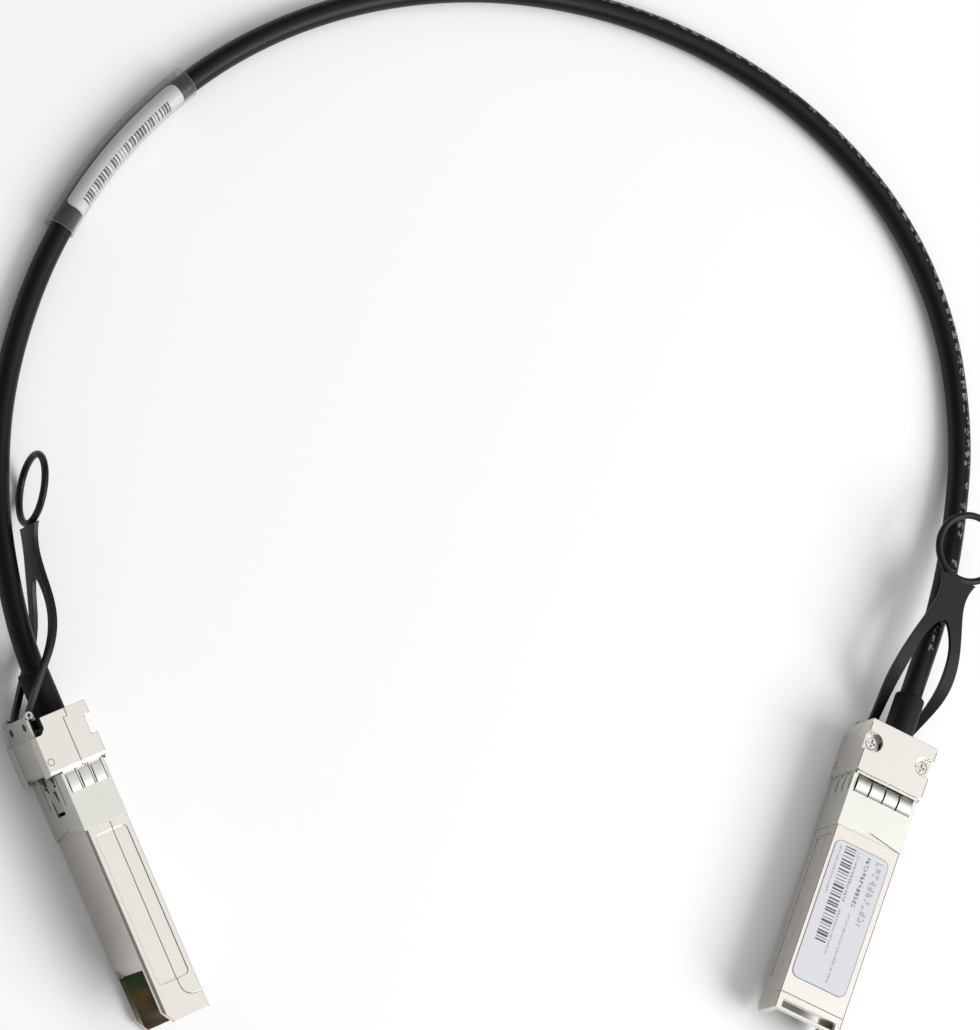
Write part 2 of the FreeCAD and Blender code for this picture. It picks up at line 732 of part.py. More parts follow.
def route_wire(points, first, last):
    """Straight runs and tangent arcs from the middle of run `first` to the middle of run `last`.
    A run outside the list's ends stands for the cable's own end."""
    def half_way(run):
        return (points[run] + points[run + 1]) * 0.5
    here = points[0] if first < 0 else half_way(first)
    goal = points[-1] if last > len(points) - 2 else half_way(last)
    edges = []
    for index in range(max(first, 0) + 1, min(last, len(points) - 2) + 1):
        corner = points[index]
        into = (corner - points[index - 1]).normalize()
        out = (points[index + 1] - corner).normalize()
        half_turn = into.getAngle(out) / 2
        reach = bend_radius(points, index) * math.tan(half_turn)
        start = corner - into * reach
        end = corner + out * reach
        inward = (out - into).normalize()
        radius = bend_radius(points, index)
        middle = corner + inward * (radius / math.cos(half_turn) - radius)
        edges.append(Part.LineSegment(here, start).toShape())
        edges.append(Part.Arc(start, middle, end).toShape())
        here = end
    edges.append(Part.LineSegment(here, goal).toShape())
    return Part.Wire(edges)


def flat_tube(wire, radius, spread):
    """A tube round a level wire, flattened so that it reaches further on the wire's left."""
    start = wire.OrderedEdges[0]
    here = start.valueAt(start.FirstParameter)
    left = V(0, 0, 1).cross(start.tangentAt(start.FirstParameter)).normalize()
    up = V(0, 0, 1)
    far = here + left * spread
    edges = [Part.Arc(here + up * radius, here - left * radius, here - up * radius).toShape(),
             Part.makeLine(here - up * radius, far - up * radius),
             Part.Arc(far - up * radius, far + left * radius, far + up * radius).toShape(),
             Part.makeLine(far + up * radius, here + up * radius)]
    return swept(wire, Part.Wire(edges))


def swept(wire, section):
    """Sweep a closed section along a level wire, keeping it upright."""
    sweep = Part.BRepOffsetAPI.MakePipeShell(wire)
    sweep.setBiNormalMode(V(0, 0, 1))
    sweep.add(section)
    sweep.build()
    sweep.makeSolid()
    return sweep.shape()


def trimmed(wire, at_start, at_end):
    """The wire without its straight ends and without a length of the bends next to them."""
    edges = wire.OrderedEdges[1:-1]
    first = edges[0]
    last = edges[-1]
    cut_start = at_start - wire.OrderedEdges[0].Length
    cut_end = at_end - wire.OrderedEdges[-1].Length
    begin = first.getParameterByLength(cut_start)
    finish = last.getParameterByLength(last.Length - cut_end)
    edges[0] = first.Curve.toShape(begin, first.LastParameter)
    edges[-1] = last.Curve.toShape(last.FirstParameter, finish)
    return Part.Wire(edges)


def tag_band(wire):
    """A thin label lying on the cable, from its crown round to the side within the bend."""
    start = wire.OrderedEdges[0]
    here = start.valueAt(start.FirstParameter)
    left = V(0, 0, 1).cross(start.tangentAt(start.FirstParameter)).normalize()

    def on_ring(radius, angle):
        lean = math.radians(angle)
        return here + left * (radius * math.sin(lean)) + V(0, 0, radius * math.cos(lean))
    near = cable_radius + fit_gap
    far = near + tag_thickness
    middle = (tag_outer_angle + tag_inner_angle) / 2
    edges = [Part.Arc(on_ring(near, tag_outer_angle), on_ring(near, middle),
                      on_ring(near, tag_inner_angle)).toShape(),
             Part.makeLine(on_ring(near, tag_inner_angle), on_ring(far, tag_inner_angle)),
             Part.Arc(on_ring(far, tag_inner_angle), on_ring(far, middle),
                      on_ring(far, tag_outer_angle)).toShape(),
             Part.makeLine(on_ring(far, tag_outer_angle), on_ring(near, tag_outer_angle))]
    return swept(wire, Part.Wire(edges))


def corner_tool(end, inwards):
    """What is cut off the label's outer corner at one end of its path to leave it rounded."""
    left = V(0, 0, 1).cross(inwards).normalize()
    if inwards.dot(V(1, 1, 0)) < 0:
        left = left * -1
    lean = math.radians(tag_outer_angle) - tag_corner / cable_radius
    out = left * math.sin(lean) + V(0, 0, math.cos(lean))
    sideways = left * math.cos(lean) - V(0, 0, math.sin(lean))
    size = 2 * tag_corner
    tool = Part.makeBox(size, size, 2).cut(Part.makeCylinder(tag_corner, 2))
    corner = end + out * (cable_radius - 1) + inwards * tag_corner
    back = inwards * -1
    matrix = FreeCAD.Matrix(back.x, sideways.x, out.x, corner.x, back.y, sideways.y, out.y, corner.y,
                            back.z, sideways.z, out.z, corner.z, 0, 0, 0, 1)
    return tool.transformGeometry(matrix)


def rounded_tag(wire):
    band = tag_band(wire)
    first = wire.OrderedEdges[0]
    last = wire.OrderedEdges[-1]
    start = wire.OrderedVertexes[0].Point
    finish = wire.OrderedVertexes[-1].Point
    band = band.cut(corner_tool(start, first.tangentAt(first.FirstParameter)))
    return band.cut(corner_tool(finish, last.tangentAt(last.LastParameter) * -1))


def pipe(wire, radius):
    start = wire.Edges[0].valueAt(wire.Edges[0].FirstParameter)
    along = wire.Edges[0].tangentAt(wire.Edges[0].FirstParameter)
    circle = Part.Wire([Part.makeCircle(radius, start, along)])
    return wire.makePipeShell([circle], True, True)


def main():
    os.makedirs("parts", exist_ok=True)
    left = standing_placement(left_plug_x, left_plug_y, left_plug_turn)
    right = lying_placement(right_plug_x, right_plug_y, right_plug_turn)
    nodes = {}
    for suffix, placement, rise in (("a", left, tab_rise_bent), ("b", right, tab_rise_flat)):
        for name, shape in plug_pieces(rise).items():
            shape.Placement = placement
            nodes[name + "_" + suffix] = shape
    points = cable_route(left, right)
    radii = [bend_radius(points, index) for index in range(1, len(points) - 1)]
    print("bend radii", " ".join("%.0f" % radius for radius in radii))
    path = route_wire(points, -1, len(points))
    nodes["cable"] = pipe(path, cable_radius)
    print("cable length %.1f, volume ratio %.4f" %
          (path.Length, nodes["cable"].Volume / (math.pi * cable_radius ** 2 * path.Length)))
    sleeve_path = route_wire(points, runs_before_sleeve_count, runs_before_sleeve_count + 2)
    print("sleeve length %.1f" % sleeve_path.Length)
    inner = cable_radius + sleeve_gap
    sleeve = flat_tube(sleeve_path, inner + sleeve_wall, sleeve_spread)
    nodes["id_sleeve"] = sleeve.cut(flat_tube(sleeve_path, inner, sleeve_spread))
    tag_path = trimmed(sleeve_path, tag_start_margin, tag_end_margin)
    nodes["id_tag"] = rounded_tag(tag_path)
    tube_room = pipe(path, cable_radius + fit_gap)
    for suffix in ("a", "b"):
        nodes["cable_boot_" + suffix] = nodes["cable_boot_" + suffix].cut(tube_room)
    for name, shape in nodes.items():
        print(name, "valid" if shape.isValid() else "INVALID", len(shape.Solids), "%.2f" % shape.Volume)
        shape.exportStep("parts/%s.step" % name)
    box = FreeCAD.BoundBox()
    for name, shape in nodes.items():
        if name not in ("cable", "id_sleeve", "id_tag"):
            box.add(shape.BoundBox)
    print("plugs' box", box)


main()
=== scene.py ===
import json
import math
import bmesh
import bpy
from mathutils import Matrix, Vector


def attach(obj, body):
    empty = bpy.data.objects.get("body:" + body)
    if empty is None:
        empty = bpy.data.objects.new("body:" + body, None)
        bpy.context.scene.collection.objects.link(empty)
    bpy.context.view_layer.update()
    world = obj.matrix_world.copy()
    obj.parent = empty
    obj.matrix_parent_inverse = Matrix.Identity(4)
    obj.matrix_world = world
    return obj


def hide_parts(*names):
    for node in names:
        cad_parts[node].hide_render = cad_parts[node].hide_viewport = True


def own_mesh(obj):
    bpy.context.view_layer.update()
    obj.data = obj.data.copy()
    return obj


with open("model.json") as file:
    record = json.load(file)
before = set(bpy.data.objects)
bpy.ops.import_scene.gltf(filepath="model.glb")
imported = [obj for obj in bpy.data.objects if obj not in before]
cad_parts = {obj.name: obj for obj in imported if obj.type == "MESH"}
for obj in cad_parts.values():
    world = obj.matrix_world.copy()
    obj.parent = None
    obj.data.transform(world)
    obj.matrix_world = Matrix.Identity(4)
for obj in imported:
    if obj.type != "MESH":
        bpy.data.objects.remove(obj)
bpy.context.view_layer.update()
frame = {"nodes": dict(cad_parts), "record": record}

nodes = frame["nodes"]
scene = bpy.context.scene
print("stage: frame loaded,", len(nodes), "solids")

# The plugs' own frames: x across, y from the shoulder towards the cable, z from latch face to label.
# Each lies where its cage mount says: one stands on its narrow side, the other lies on its latch face.
plugStance = {"a": 90.0, "b": 0.0, "mountPoint": (0.0, -0.0475, 0.00425)}


def plugFrame(side):
    mount = [one for one in frame["record"]["mounts"] if one["name"] == "plug_" + side + "_cage"][0]
    turn = (0.0, math.radians(plugStance[side]), math.atan2(mount["axis"][0], -mount["axis"][1]))
    spin = Matrix.Rotation(turn[2], 3, "Z") @ Matrix.Rotation(turn[1], 3, "Y")
    return {"place": tuple(Vector(mount["pos_m"]) - spin @ Vector(plugStance["mountPoint"])), "turn": turn}


plugs = {"a": plugFrame("a"), "b": plugFrame("b")}
cameraLook = {"place": (-0.5671, -0.2318, 1.2505), "aim": (-0.0022, 0.0459, 0.0), "roll": -0.25, "lens": 283.8}


def plugPoint(side, point):
    turn = plugs[side]["turn"]
    spin = Matrix.Rotation(turn[2], 3, "Z") @ Matrix.Rotation(turn[1], 3, "Y")
    return spin @ Vector(point) + Vector(plugs[side]["place"])


def makeCamera(look):
    data = bpy.data.cameras.new("camera")
    data.sensor_fit = "HORIZONTAL"
    data.sensor_width = 36
    data.lens = look["lens"]
    data.clip_end = 20
    camera = bpy.data.objects.new("camera", data)
    scene.collection.objects.link(camera)
    place = Vector(look["place"])
    back = (place - Vector(look["aim"])).normalized()
    side = Vector((0, 1, 0)).cross(back).normalized()
    up = back.cross(side)
    roll = math.radians(look["roll"])
    across = side * math.cos(roll) + up * math.sin(roll)
    upward = up * math.cos(roll) - side * math.sin(roll)
    turned = Matrix((across, upward, back)).transposed().to_4x4()
    camera.matrix_world = Matrix.Translation(place) @ turned
    scene.camera = camera


makeCamera(cameraLook)
scene.view_settings.view_transform = "Standard"


class Wire:
    def __init__(self, graph, socket):
        self.graph = graph
        self.socket = socket

    def work(self, operation, other=None, flipped=False):
        if other is None:
            values = {0: self}
        else:
            values = {0: other, 1: self} if flipped else {0: self, 1: other}
        return self.graph.add("Math", {"operation": operation}, values)[0]

    def __add__(self, other):
        return self.work("ADD", other)

    def __sub__(self, other):
        return self.work("SUBTRACT", other)

    def __rsub__(self, other):
        return self.work("SUBTRACT", other, True)

    def __mul__(self, other):
        return self.work("MULTIPLY", other)

    def __truediv__(self, other):
        return self.work("DIVIDE", other)

    def __pow__(self, other):
        return self.work("POWER", other)

    def __gt__(self, other):
        return self.work("GREATER_THAN", other)

    def __lt__(self, other):
        return self.work("LESS_THAN", other)

    def __abs__(self):
        return self.work("ABSOLUTE")

    def floor(self):
        return self.work("FLOOR")

    def between(self, low, high):
        return (self > low) * (self < high)

    def bars(self, module, fill, seed):
        cell = (self / module).floor()
        chance = self.graph.add("TexWhiteNoise", {"noise_dimensions": "1D"}, {"W": cell + seed})["Value"]
        share = self.graph.add("Math", {"operation": "FLOORED_MODULO"}, {0: cell, 1: 4.0})[0]
        free = self.graph.add("Math", {"operation": "FLOORED_MODULO"}, {0: share, 1: 2.0})[0] > 0.5
        return (share < 0.5) + free * (chance < fill)

    __radd__ = __add__
    __rmul__ = __mul__


class Built:
    def __init__(self, graph, node):
        self.graph = graph
        self.node = node

    def __getitem__(self, key):
        return Wire(self.graph, self.node.outputs[key])


class Graph:
    def __init__(self, name):
        self.material = bpy.data.materials.new(name)
        self.material.use_nodes = True
        self.tree = self.material.node_tree
        self.tree.nodes.clear()

    def add(self, kind, settings=None, values=None):
        node = self.tree.nodes.new("ShaderNode" + kind)
        for key, value in (settings or {}).items():
            setattr(node, key, value)
        for key, value in (values or {}).items():
            self.feed(node.inputs[key], value)
        return Built(self, node)

    def feed(self, socket, value):
        if isinstance(value, Wire):
            self.tree.links.new(value.socket, socket)
        elif isinstance(value, (tuple, list)) and len(socket.default_value) == 4 and len(value) == 3:
            socket.default_value = (*value, 1.0)
        else:
            socket.default_value = value

    def blend(self, factor, first, second, style="MIX"):
        settings = {"data_type": "RGBA", "blend_type": style}
        return self.add("Mix", settings, {0: factor, 6: first, 7: second})[2]

    def objectPlace(self):
        return self.add("TexCoord")["Object"]

    def plugPlace(self, side):
        values = {"Vector": self.objectPlace(), "Location": plugs[side]["place"], "Rotation": plugs[side]["turn"]}
        return self.add("Mapping", {"vector_type": "TEXTURE"}, values)["Vector"]

    def stretched(self, place, scale):
        return self.add("Mapping", {}, {"Vector": place, "Scale": scale})["Vector"]

    def parts(self, place):
        split = self.add("SeparateXYZ", {}, {0: place})
        return split["X"], split["Y"], split["Z"]

    def noise(self, place, scale, detail=2.0, rough=0.5):
        values = {"Vector": place, "Scale": scale, "Detail": detail, "Roughness": rough}
        return self.add("TexNoise", {}, values)["Fac"]

    def bump(self, height, strength, distance, under=None):
        values = {"Height": height, "Strength": strength, "Distance": distance}
        if under is not None:
            values["Normal"] = under
        return self.add("Bump", {}, values)["Normal"]

    def softEdges(self, radius):
        return self.add("Bevel", {"samples": 4}, {"Radius": radius})["Normal"]

    def finish(self, **values):
        names = {key.replace("_", " "): value for key, value in values.items()}
        shader = self.add("BsdfPrincipled", {}, names)
        self.add("OutputMaterial", {}, {"Surface": shader["BSDF"]})
        return self.material


plating = {"colour": (0.745, 0.712, 0.665), "shade": (0.675, 0.642, 0.597), "rough": 0.17, "spread": 0.07,
           "edge": 0.00016, "grain": 5200, "grainStrength": 0.05, "grainDepth": 0.00001,
           # the inside and mouth colours are painted shade: the shell's hollow is darkened, darkest towards the mouth
           "inside": (0.46, 0.40, 0.30), "mouth": (0.10, 0.065, 0.045),
           # edgeBrown is the colour of the small ring mark and of the painted dark reflection along the long top
           # edges
           "mouthFrom": -0.0462, "mouthTo": -0.0415, "edgeBrown": (0.12, 0.075, 0.05)}
hollow = {"x": 0.00568, "y": (-0.0474, 0.0), "z": (0.00092, 0.00738)}
# Thin dark brown lines along the long top edges: a painted dark reflection in the edge chamfers.
paintedEdgeReflections = [{"x": 0.0066, "z": 0.00846, "y": (-0.0475, 0.0)}, {"x": 0.00686, "z": 0.00936, "y": (0.0001, 0.0095)}]
mouldMark = {"y": 0.0024, "z": -0.00095, "radius": 0.0006, "line": 0.00008, "face": -0.0069}


def platedShell(side, name):
    graph = Graph(name)
    place = graph.plugPlace(side)
    cloud = graph.noise(place, 130, 3)
    streak = graph.noise(graph.stretched(place, (1.0, 0.14, 1.0)), 900, 4, 0.6)
    colour = graph.blend(cloud * 0.7 + streak * 0.25, plating["colour"], plating["shade"])
    across, along, up = graph.parts(place)
    # Painted shade inside the hollow: its walls turn dark brown, darkest towards the mouth.
    inside = (abs(across) < hollow["x"]) * along.between(*hollow["y"]) * up.between(*hollow["z"])
    spans = {"Value": along, "From Min": plating["mouthFrom"], "From Max": plating["mouthTo"]}
    hollowShade = graph.blend(graph.add("MapRange", {}, spans)["Result"], plating["mouth"], plating["inside"])
    colour = graph.blend(inside, colour, hollowShade)
    rough = plating["rough"] + cloud * plating["spread"] + streak * 0.05
    away = ((along - mouldMark["y"]) ** 2 + (up - mouldMark["z"]) ** 2) ** 0.5
    ring = (abs(away - mouldMark["radius"]) < mouldMark["line"]) * (across < mouldMark["face"])
    colour = graph.blend(ring * 0.75, colour, plating["edgeBrown"])
    # Painted dark reflection: a thin brown line along each long top edge.
    for edge in paintedEdgeReflections:
        line = (abs(across) > edge["x"]) * (up > edge["z"]) * along.between(*edge["y"])
        colour = graph.blend(line * 0.9, colour, plating["edgeBrown"])
    grain = graph.noise(place, plating["grain"], 2)
    normal = graph.bump(grain, plating["grainStrength"], plating["grainDepth"], graph.softEdges(plating["edge"]))
    return graph.finish(Base_Color=colour, Roughness=rough, Metallic=1.0, Normal=normal)


springSteel = {"colour": (0.68, 0.68, 0.635), "shade": (0.6, 0.6, 0.555), "rough": 0.3, "spread": 0.12,
               "edge": 0.00008, "lines": 3800, "lineStrength": 0.12, "lineDepth": 0.000006}


def rolledSteel(side, name, values=springSteel):
    graph = Graph(name)
    place = graph.plugPlace(side)
    lines = graph.noise(graph.stretched(place, (1.0, 0.03, 1.0)), values["lines"], 3, 0.6)
    cloud = graph.noise(place, 220, 2)
    colour = graph.blend(lines * 0.6 + cloud * 0.4, values["colour"], values["shade"])
    rough = values["rough"] + lines * values["spread"]
    normal = graph.bump(lines, values["lineStrength"], values["lineDepth"], graph.softEdges(values["edge"]))
    return graph.finish(Base_Color=colour, Roughness=rough, Metallic=1.0, Normal=normal)


latchSteel = dict(springSteel, colour=(0.58, 0.575, 0.55), shade=(0.47, 0.465, 0.445), rough=0.26)
screwSteel = dict(springSteel, colour=(0.70, 0.69, 0.665), shade=(0.56, 0.55, 0.53), rough=0.2, edge=0.0001)

boardMask = {"green": (0.014, 0.19, 0.105), "trace": (0.03, 0.31, 0.185), "edgeBrown": (0.16, 0.13, 0.05),
             "pitch": 0.0008, "traceShare": 0.16, "from": -0.0405, "to": -0.016, "cover": 0.36,
             "middle": 0.00575, "halfThick": 0.00046, "rimFrom": 0.0045}


def circuitBoard(side, name):
    graph = Graph(name)
    across, along, up = graph.parts(graph.plugPlace(side))
    step = across / boardMask["pitch"]
    ripple = graph.add("Math", {"operation": "PINGPONG"}, {0: step, 1: 0.5})[0]
    inner = graph.noise(graph.plugPlace(side), 700, 1)
    runs = (ripple < boardMask["traceShare"]) * along.between(boardMask["from"], boardMask["to"])
    runs = runs * (inner > boardMask["cover"])
    colour = graph.blend(runs, boardMask["green"], boardMask["trace"])
    rim = abs(up - boardMask["middle"]) < boardMask["halfThick"]
    colour = graph.blend(rim * (abs(across) > boardMask["rimFrom"]), colour, boardMask["edgeBrown"])
    normal = graph.bump(runs, 0.4, 0.00003)
    return graph.finish(Base_Color=colour, Roughness=0.3, Coat_Weight=0.4, Coat_Roughness=0.15, Normal=normal)


contactGold = {"colour": (0.86, 0.60, 0.24), "shade": (0.66, 0.43, 0.16), "rough": 0.22}


def goldPlate(name):
    graph = Graph(name)
    cloud = graph.noise(graph.objectPlace(), 2400, 3)
    colour = graph.blend(cloud, contactGold["colour"], contactGold["shade"])
    return graph.finish(Base_Color=colour, Roughness=contactGold["rough"] + cloud * 0.12, Metallic=1.0)


def mouldedPlastic(name, colour, lighter, rough, edge, sheen=0.25, grain=2600, strength=0.18, depth=0.00002):
    graph = Graph(name)
    place = graph.objectPlace()
    cloud = graph.noise(place, 180, 3)
    fine = graph.noise(place, grain, 3, 0.6)
    shade = graph.blend(cloud * 0.6 + fine * 0.4, colour, lighter)
    normal = graph.bump(fine, strength, depth, graph.softEdges(edge))
    return graph.finish(Base_Color=shade, Roughness=rough + cloud * 0.1, Specular_IOR_Level=sheen, Normal=normal)


paper = {"field": (0.765, 0.778, 0.82), "warm": (0.735, 0.748, 0.79), "ink": (0.04, 0.04, 0.045),
         "greyInk": (0.12, 0.12, 0.135)}
labelRows = [  # rows of plain marks: from x, to x, from y, to y, how long a mark is, how dark its ink is
    {"x": (0.0029, 0.0043), "y": (-0.0270, -0.0143), "mark": 0.00125, "ink": 0.42},
    {"x": (0.0009, 0.0017), "y": (-0.0242, -0.0143), "mark": 0.0008, "ink": 0.8},
    {"x": (0.0009, 0.0014), "y": (-0.0393, -0.0255), "mark": 0.0005, "ink": 0.55},
    {"x": (-0.0012, -0.0006), "y": (-0.0240, -0.0142), "mark": 0.0006, "ink": 0.65},
    {"x": (-0.0012, -0.0007), "y": (-0.0344, -0.0255), "mark": 0.0005, "ink": 0.55},
    {"x": (-0.0049, -0.0045), "y": (-0.0239, -0.0144), "mark": 0.0004, "ink": 0.6},
]
barBlock = {"x": (-0.00375, -0.0015), "y": (-0.0327, -0.0140), "bar": 0.00016, "fill": 0.45, "ink": 0.9}
labelEdge = {"middle": (-0.0002, -0.02705), "half": (0.00575, 0.01375), "corner": 0.0015, "line": 0.00012}


def printedLabel(side, name):
    graph = Graph(name)
    place = graph.plugPlace(side)
    across, along, up = graph.parts(place)
    ink = None
    for index, row in enumerate(labelRows):
        low, high = row["x"]
        marks = along / row["mark"] + index * 17.3
        lines = (across - low) / ((high - low) / 3)
        cell = graph.add("CombineXYZ", {}, {0: (marks * 3).floor(), 1: lines.floor(), 2: float(index)})["Vector"]
        speck = graph.add("TexWhiteNoise", {"noise_dimensions": "3D"}, {"Vector": cell})["Value"]
        gap = graph.add("Math", {"operation": "FRACT"}, {0: marks})[0] < 0.7
        part = (speck < 0.66) * gap * across.between(low, high) * along.between(*row["y"]) * row["ink"]
        ink = part if ink is None else ink + part
    bars = along.bars(barBlock["bar"], barBlock["fill"], 5.1) * across.between(*barBlock["x"])
    bars = bars * along.between(*barBlock["y"])
    outX = abs(across - labelEdge["middle"][0]) - (labelEdge["half"][0] - labelEdge["corner"])
    outY = abs(along - labelEdge["middle"][1]) - (labelEdge["half"][1] - labelEdge["corner"])
    reach = (outX.work("MAXIMUM", 0.0) ** 2 + outY.work("MAXIMUM", 0.0) ** 2) ** 0.5
    rim = reach > (labelEdge["corner"] - labelEdge["line"])
    field = graph.blend(graph.noise(place, 260, 2), paper["field"], paper["warm"])
    colour = graph.blend(ink, field, paper["greyInk"])
    colour = graph.blend(bars * barBlock["ink"], colour, paper["ink"])
    colour = graph.blend(rim * 0.8, colour, paper["greyInk"])
    fibre = graph.noise(place, 5200, 3)
    normal = graph.bump(fibre, 0.1, 0.00001)
    return graph.finish(Base_Color=colour, Roughness=fibre * 0.1 + 0.42, Specular_IOR_Level=0.35, Normal=normal)


jacket = {"colour": (0.004, 0.004, 0.0045), "lighter": (0.007, 0.007, 0.0078), "rough": 0.33, "sheen": 0.22}
jacketMarks = {"pitch": 0.0023, "length": 0.4069, "from": 0.5, "to": 0.953, "start": -0.080, "turn": 0.29,
               "width": 0.1, "fill": 0.5, "words": 0.84, "gap": 0.62, "ink": (0.34, 0.345, 0.34), "strength": 0.6}


def cableJacket(name):
    graph = Graph(name)
    place = graph.objectPlace()
    cloud = graph.noise(place, 90, 3)
    fine = graph.noise(place, 3600, 3, 0.6)
    colour = graph.blend(cloud, jacket["colour"], jacket["lighter"])
    share, turn = graph.parts(graph.add("TexCoord")["UV"])[:2]
    marks = share * (jacketMarks["length"] / jacketMarks["pitch"])
    height = (turn - share * jacketMarks["turn"] - jacketMarks["start"]) / jacketMarks["width"] + 0.5
    cell = graph.add("CombineXYZ", {}, {0: (marks * 5).floor(), 1: (height * 5).floor()})["Vector"]
    speck = graph.add("TexWhiteNoise", {"noise_dimensions": "2D"}, {"Vector": cell})["Value"] < jacketMarks["fill"]
    word = graph.add("TexWhiteNoise", {"noise_dimensions": "1D"}, {"W": marks.floor()})["Value"]
    gap = graph.add("Math", {"operation": "FRACT"}, {0: marks})[0] < jacketMarks["gap"]
    printed = speck * gap * (word < jacketMarks["words"]) * height.between(0.0, 1.0)
    printed = printed * share.between(jacketMarks["from"], jacketMarks["to"]) * jacketMarks["strength"]
    colour = graph.blend(printed, colour, jacketMarks["ink"])
    normal = graph.bump(fine, 0.12, 0.00001)
    return graph.finish(Base_Color=colour, Roughness=jacket["rough"] + cloud * 0.1 + fine * 0.04,
                        Specular_IOR_Level=jacket["sheen"], Normal=normal)


# rim is the paler, more opaque film on the sleeve's cut ends: a painted highlight
film = {"colour": (0.46, 0.48, 0.48), "rim": (0.78, 0.80, 0.80), "least": 0.035, "edge": 0.6}


def clearFilm(name, colour, least, edge):
    graph = Graph(name)
    facing = graph.add("LayerWeight", {}, {"Blend": 0.5})["Facing"]
    cloud = graph.noise(graph.objectPlace(), 260, 3)
    alpha = facing * facing * edge + (least + cloud * 0.05)
    normal = graph.bump(cloud, 0.25, 0.0002)
    return graph.finish(Base_Color=colour, Roughness=0.13, Alpha=alpha, Normal=normal)


tagPrint = {"field": (0.83, 0.86, 0.845), "shade": (0.77, 0.80, 0.785), "ink": (0.02, 0.02, 0.02),
            "bar": 0.00019, "fill": 0.5, "from": 0.0022, "to": 0.0277, "low": -1.05, "high": -0.05}


def barTag(name):
    graph = Graph(name)
    along = graph.add("Attribute", {"attribute_name": "along"})["Fac"]
    around = graph.add("Attribute", {"attribute_name": "around"})["Fac"]
    bars = along.bars(tagPrint["bar"], tagPrint["fill"], 2.7)
    inside = along.between(tagPrint["from"], tagPrint["to"]) * around.between(tagPrint["low"], tagPrint["high"])
    cloud = graph.noise(graph.objectPlace(), 200, 2)
    field = graph.blend(cloud, tagPrint["field"], tagPrint["shade"])
    colour = graph.blend(bars * inside * 0.95, field, tagPrint["ink"])
    return graph.finish(Base_Color=colour, Roughness=0.4 + cloud * 0.1)


def dress(node, material):
    data = nodes[node].data
    data.materials.clear()
    data.materials.append(material)


bootRubber = mouldedPlastic("bootRubber", (0.005, 0.005, 0.0052), (0.008, 0.008, 0.0085), 0.5, 0.0001, 0.2)
tabPlastic = mouldedPlastic("tabPlastic", (0.006, 0.006, 0.0065), (0.009, 0.009, 0.0095), 0.34, 0.0003, 0.28)
chipPlastic = mouldedPlastic("chipPlastic", (0.012, 0.012, 0.013), (0.02, 0.02, 0.021), 0.55, 0.00005)
leadPlastic = mouldedPlastic("leadPlastic", (0.45, 0.46, 0.48), (0.52, 0.53, 0.55), 0.4, 0.00005)
gold = goldPlate("contactGold")
for side in "ab":
    shell = platedShell(side, "platedShell_" + side)
    collar = rolledSteel(side, "springCollar_" + side)
    latch = rolledSteel(side, "latchSteel_" + side, latchSteel)
    screw = rolledSteel(side, "screwSteel_" + side, screwSteel)
    finishes = {"base_shell": shell, "cover_shell": shell, "emi_collar": collar, "cover_screws": screw,
                "circuit_board": circuitBoard(side, "boardMask_" + side), "contact_pads": gold,
                "memory_chip": chipPlastic, "cable_boot": bootRubber, "crimp_ferrule": gold,
                "signal_leads": leadPlastic, "latch_slider": latch, "pull_tab": tabPlastic,
                "latch_rocker": latch, "latch_pin": screw, "return_spring": latch,
                "plug_label": printedLabel(side, "plugLabel_" + side)}
    for node, material in finishes.items():
        dress(node + "_" + side, material)
print("stage: finishes on the plugs")

cable = {"diameter": 0.0042, "axisHeight": 0.0055, "inside": 0.004, "straightOut": 0.020, "length": 0.4069,
         "stepsAlong": 16, "stepsRound": 10}
cableRoute = [(-0.0974, 0.0243, 0.0061), (-0.0992, 0.0404, 0.004), (-0.0978, 0.0607, 0.0026),
              (-0.0915, 0.0819, 0.00252), (-0.0821, 0.0990, 0.00252), (-0.0704, 0.1132, 0.00252),
              (-0.0551, 0.1261, 0.00252), (-0.0362, 0.1362, 0.0022), (-0.0156, 0.1423, 0.00212),
              (0.0058, 0.1442, 0.00212), (0.0272, 0.1418, 0.00212), (0.0477, 0.1351, 0.00212),
              (0.0663, 0.1240, 0.00212), (0.0813, 0.1087, 0.00212), (0.0906, 0.0897, 0.00212),
              (0.0934, 0.0687, 0.0023), (0.0909, 0.0510, 0.0038), (0.0862, 0.0344, 0.0062)]


def routePoints():
    inside = (0, cable["inside"], cable["axisHeight"])
    out = (0, cable["straightOut"], cable["axisHeight"])
    ends = [plugPoint("a", inside), plugPoint("a", out)], [plugPoint("b", out), plugPoint("b", inside)]
    return ends[0] + [Vector(point) for point in cableRoute] + ends[1]


def cordCurve(name, points, radius):
    data = bpy.data.curves.new(name, "CURVE")
    data.dimensions = "3D"
    spline = data.splines.new("NURBS")
    spline.points.add(len(points) - 1)
    for knot, point in zip(spline.points, points):
        knot.co = (*point, 1.0)
    spline.order_u = 3
    spline.use_endpoint_u = True
    data.resolution_u = cable["stepsAlong"]
    data.bevel_depth = radius
    data.bevel_resolution = cable["stepsRound"]
    data.use_fill_caps = True
    curve = bpy.data.objects.new(name, data)
    scene.collection.objects.link(curve)
    return curve


route = routePoints()
cord = cordCurve("cableJacket", route, cable["diameter"] / 2)
cord.data.materials.append(cableJacket("cableJacket"))
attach(cord, "assembly")
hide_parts("cable")
print("stage: cable laid")


def socketInput(tree, name, kind, value):
    socket = tree.interface.new_socket(name, in_out="INPUT", socket_type="NodeSocket" + kind)
    if value is not None:
        socket.default_value = value
    return socket


